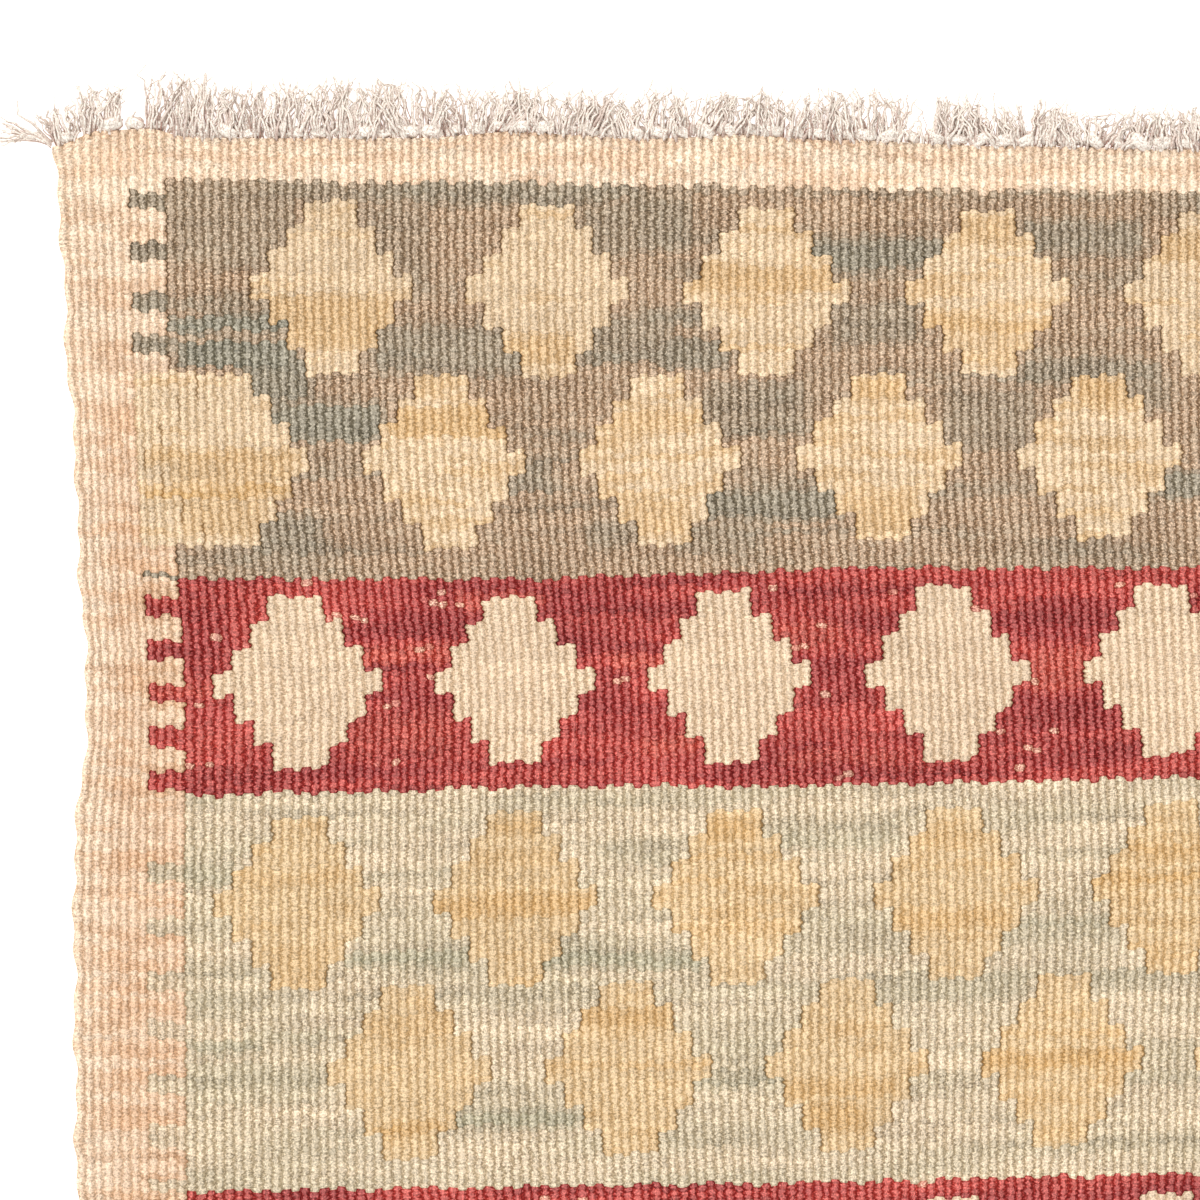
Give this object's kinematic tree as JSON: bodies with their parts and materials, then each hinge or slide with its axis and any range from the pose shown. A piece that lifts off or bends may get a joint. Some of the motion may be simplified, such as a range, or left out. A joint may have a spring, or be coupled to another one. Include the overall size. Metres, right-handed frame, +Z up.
{
  "type": "kilim rug",
  "caption": "Small flat-woven kilim rug with rows of stepped diamonds in bands, plain selvedges and a short knotted fringe at each end, lying flat on a floor.",
  "frame": {"origin": "on the floor, under the middle of the whole rug's outline", "axes": "+X across the wefts to the right selvedge, +Y along the warps to the head end, +Z up from the floor"},
  "size_m": [0.6218, 0.8422, 0.0038],
  "materials": {
    "wool_weave": "matt hand-spun wool in a weft-faced slit weave, in beige, grey-brown, brick red and pale sage",
    "warp_fringe": "matt undyed warp yarn, knotted and frayed"
  },
  "bodies": {
    "root": {"rug_cloth": "wool_weave", "fringe_head": "warp_fringe", "fringe_foot": "warp_fringe"}
  },
  "joints": []
}
